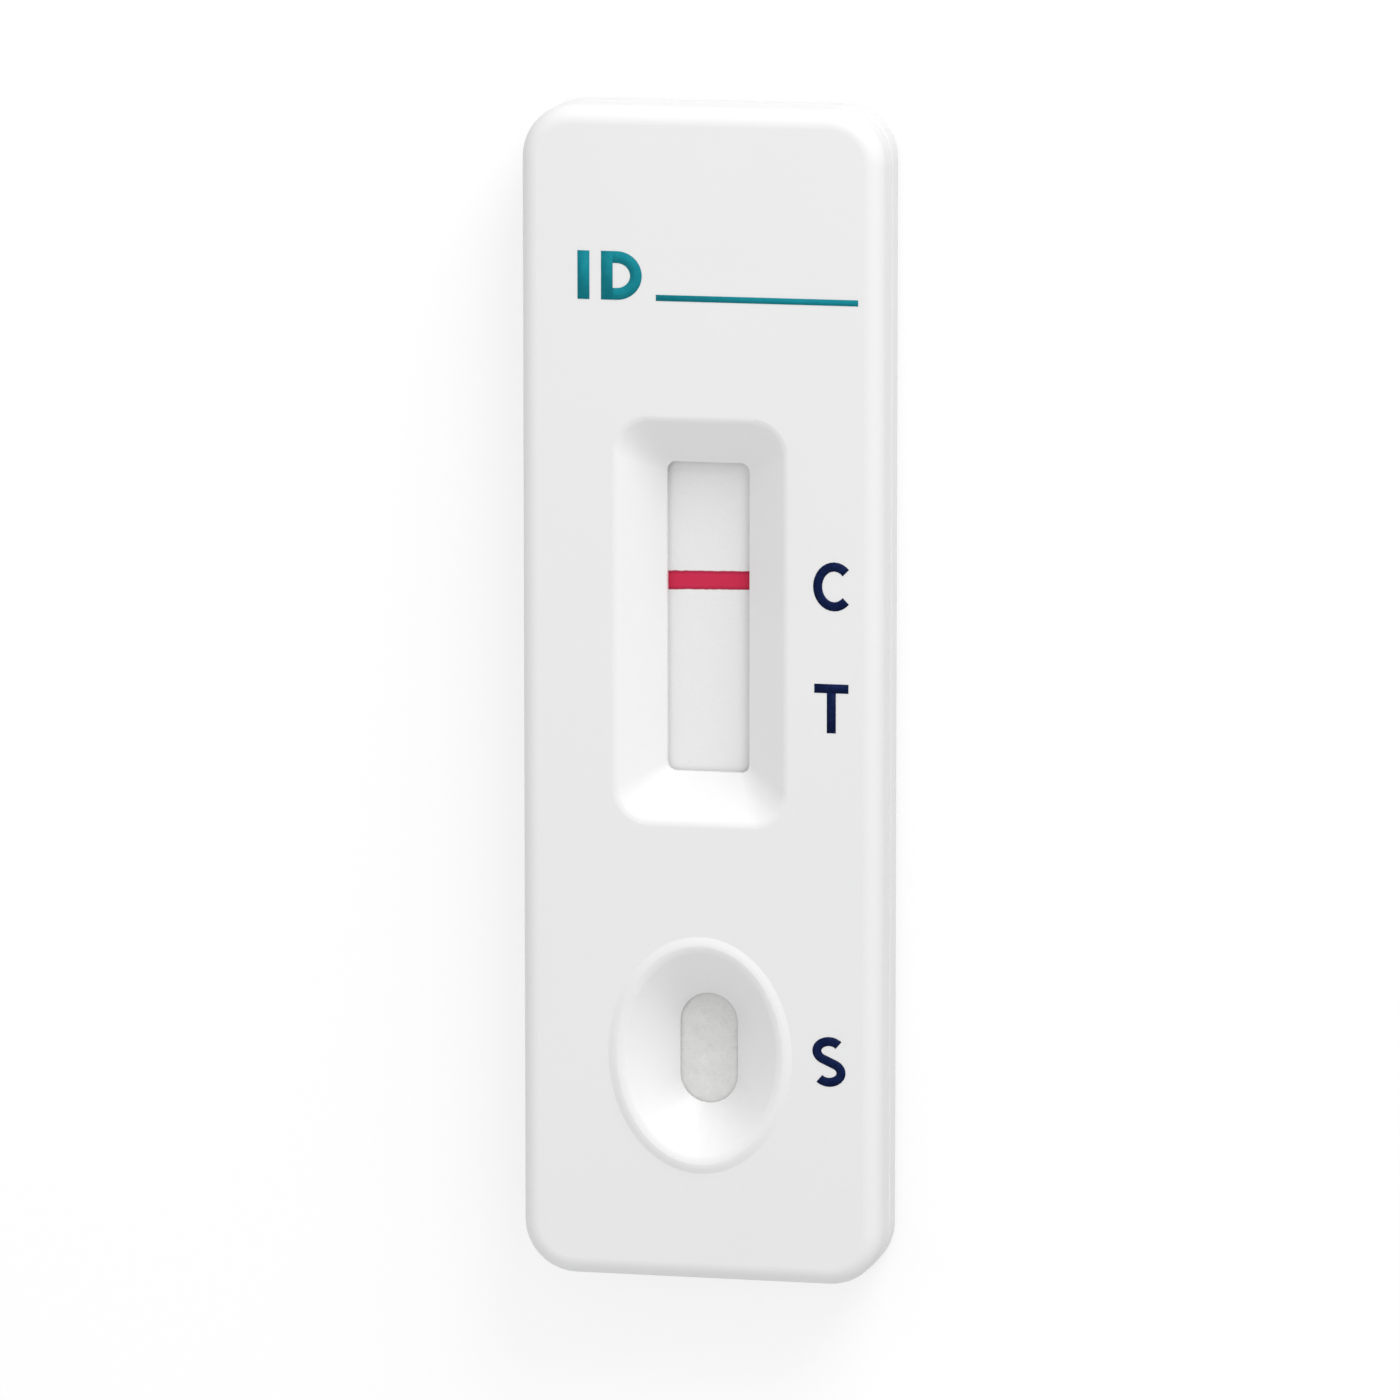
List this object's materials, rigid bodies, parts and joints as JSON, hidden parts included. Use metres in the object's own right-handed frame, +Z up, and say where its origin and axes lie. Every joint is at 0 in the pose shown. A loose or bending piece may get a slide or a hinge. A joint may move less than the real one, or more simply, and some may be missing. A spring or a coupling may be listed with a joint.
{
  "type": "lateral flow cassette",
  "caption": "Flat white rapid-test cassette: two snapped half shells round a test strip, with a sloped result window and an oval sample well.",
  "frame": {"origin": "middle of the base, at the centre of the bounding box's bottom", "axes": "+X across the case towards the printed marks, +Y along the case from the sample well towards the result window, +Z up out of the face"},
  "size_m": [0.0218, 0.07, 0.0053],
  "materials": {
    "shell_white": "satin moulded polystyrene",
    "card_white": "smooth plastic card",
    "membrane_white": "fine matt nitrocellulose with one red control line",
    "conjugate_tint": "dyed glass fibre",
    "pad_white": "soft fibrous pad",
    "ink_navy": "pad-printed ink",
    "ink_teal": "pad-printed ink"
  },
  "bodies": {
    "root": {"lower_shell": "shell_white", "upper_shell": "shell_white", "backing_card": "card_white", "membrane": "membrane_white", "conjugate_pad": "conjugate_tint", "sample_pad": "pad_white", "absorbent_pad": "pad_white"}
  },
  "joints": []
}
